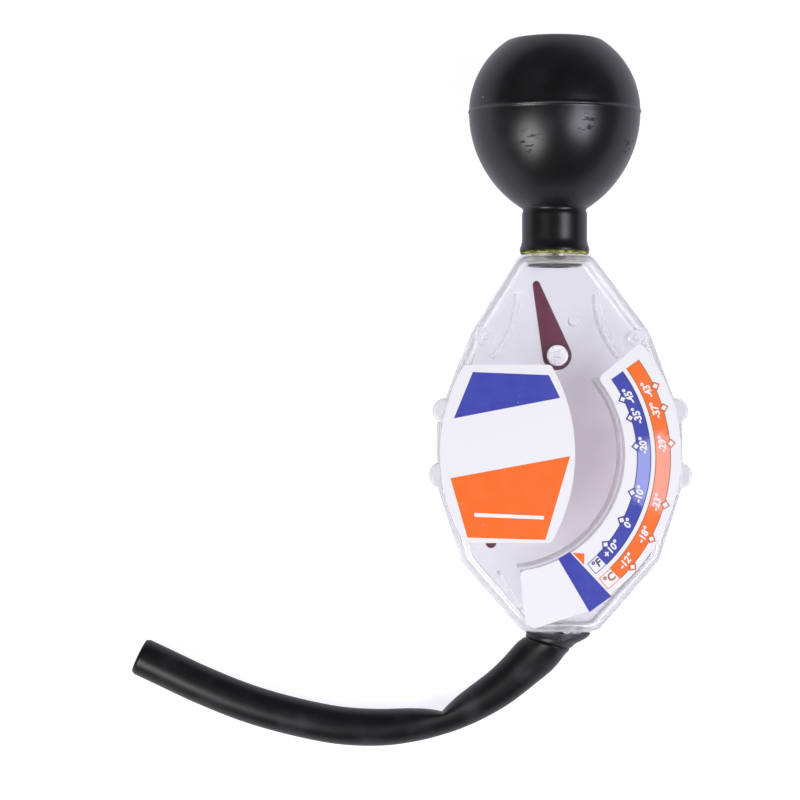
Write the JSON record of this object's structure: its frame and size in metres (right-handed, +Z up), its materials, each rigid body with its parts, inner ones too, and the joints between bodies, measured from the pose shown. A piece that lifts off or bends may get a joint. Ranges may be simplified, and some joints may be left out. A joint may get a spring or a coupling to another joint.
{
  "type": "antifreeze tester",
  "caption": "Hand-held coolant tester: clear flat case with a pivoted pointer over a printed scale, a level float, a black squeeze bulb at one end and a suction hose at the other.",
  "frame": {"origin": "on the surface it lies on, at the middle of the tester's length and width without the hose", "axes": "+Z up, out of the dial; +Y along the case towards the bulb; +X to the dial's right"},
  "size_m": [0.1474, 0.1868, 0.0454],
  "materials": {
    "clear_plastic": "clear, polished",
    "label_white": "satin printed film",
    "label_print": "satin printed film",
    "maroon_plastic": "moulded",
    "axle_steel": "drawn wire",
    "rivet_white": "moulded",
    "seal_yellow": "soft, glossy",
    "bulb_rubber": "satin",
    "hose_rubber": "satin"
  },
  "bodies": {
    "case": {"back_shell": "clear_plastic", "front_shell": "clear_plastic", "title_label": "label_white", "scale_label": "label_print", "pointer_axle": "axle_steel", "float_rivet": "rivet_white", "neck_seal": "seal_yellow", "hose_cuff": "hose_rubber", "hose": "hose_rubber"},
    "pointer": {"pointer": "maroon_plastic"},
    "level_float": {"level_float": "maroon_plastic"},
    "bulb": {"squeeze_bulb": "bulb_rubber"}
  },
  "joints": [
    {"name": "pointer_swing", "type": "hinge", "parent": "case", "child": "pointer", "pos_m": [-0.0141, -0.03034, 0.01434], "axis": [0, -0.0931, 0.9957], "range_deg": [-15, 137]},
    {"name": "float_swing", "type": "hinge", "parent": "case", "child": "level_float", "pos_m": [-0.0007, -0.00485, 0.01672], "axis": [0, -0.0931, 0.9957], "range_deg": [-19.5, 9]},
    {"name": "bulb_squeeze", "type": "slide", "parent": "case", "child": "bulb", "axis": [0, -0.9957, -0.0931], "range_m": [0, 0.008], "stiffness_N_per_m": 400, "deforming": ["squeeze_bulb"]}
  ]
}
